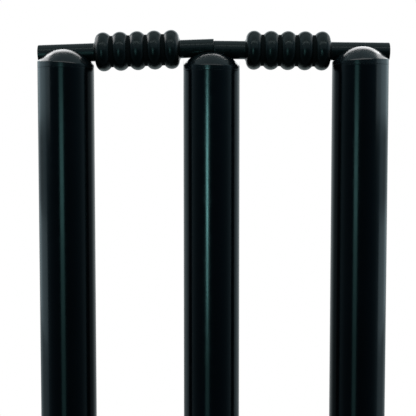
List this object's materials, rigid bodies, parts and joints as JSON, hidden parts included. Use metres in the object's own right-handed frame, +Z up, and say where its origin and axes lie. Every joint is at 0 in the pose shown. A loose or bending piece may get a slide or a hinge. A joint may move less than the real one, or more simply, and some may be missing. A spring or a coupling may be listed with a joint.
{
  "type": "cricket stumps",
  "caption": "Free-standing cricket wicket: upright round stumps with domed, grooved caps, beaded bails lying across them, and a moulded base with collared sockets.",
  "frame": {"origin": "on the floor, midway between the outer stumps", "axes": "+Z up along the stumps, +X along the wicket to the right as seen from the front, -Y to the front"},
  "size_m": [0.3286, 0.156, 0.7256],
  "materials": {
    "gloss_black": "gloss",
    "satin_black": "satin",
    "base_black": "fine grain",
    "rubber_black": "matt",
    "zinc_plate": "bright zinc"
  },
  "bodies": {
    "base": {"base": "base_black", "left_front_foot": "rubber_black", "left_rear_foot": "rubber_black", "right_front_foot": "rubber_black", "right_rear_foot": "rubber_black", "left_front_foot_screw": "zinc_plate", "left_rear_foot_screw": "zinc_plate", "right_front_foot_screw": "zinc_plate", "right_rear_foot_screw": "zinc_plate"},
    "left_stump": {"left_stump_tube": "gloss_black", "left_top_cap": "satin_black", "left_foot_plug": "satin_black"},
    "middle_stump": {"middle_stump_tube": "gloss_black", "middle_top_cap": "satin_black", "middle_foot_plug": "satin_black"},
    "right_stump": {"right_stump_tube": "gloss_black", "right_top_cap": "satin_black", "right_foot_plug": "satin_black"},
    "left_bail": {"left_bail": "satin_black"},
    "right_bail": {"right_bail": "satin_black"}
  },
  "joints": [
    {"name": "left_stump_pull", "type": "slide", "parent": "base", "child": "left_stump", "axis": [0, 0, 1], "range_m": [0, 0.07]},
    {"name": "middle_stump_pull", "type": "slide", "parent": "base", "child": "middle_stump", "axis": [0, 0, 1], "range_m": [0, 0.07]},
    {"name": "right_stump_pull", "type": "slide", "parent": "base", "child": "right_stump", "axis": [0, 0, 1], "range_m": [0, 0.07]},
    {"name": "left_bail_lift", "type": "slide", "parent": "left_stump", "child": "left_bail", "axis": [0, 0, 1], "range_m": [0, 0.04]},
    {"name": "right_bail_lift", "type": "slide", "parent": "right_stump", "child": "right_bail", "axis": [0, 0, 1], "range_m": [0, 0.04]}
  ],
  "couplings": [
    {"joint": "middle_stump_pull", "follows": "left_stump_pull", "ratio": 1},
    {"joint": "right_stump_pull", "follows": "left_stump_pull", "ratio": 1}
  ]
}
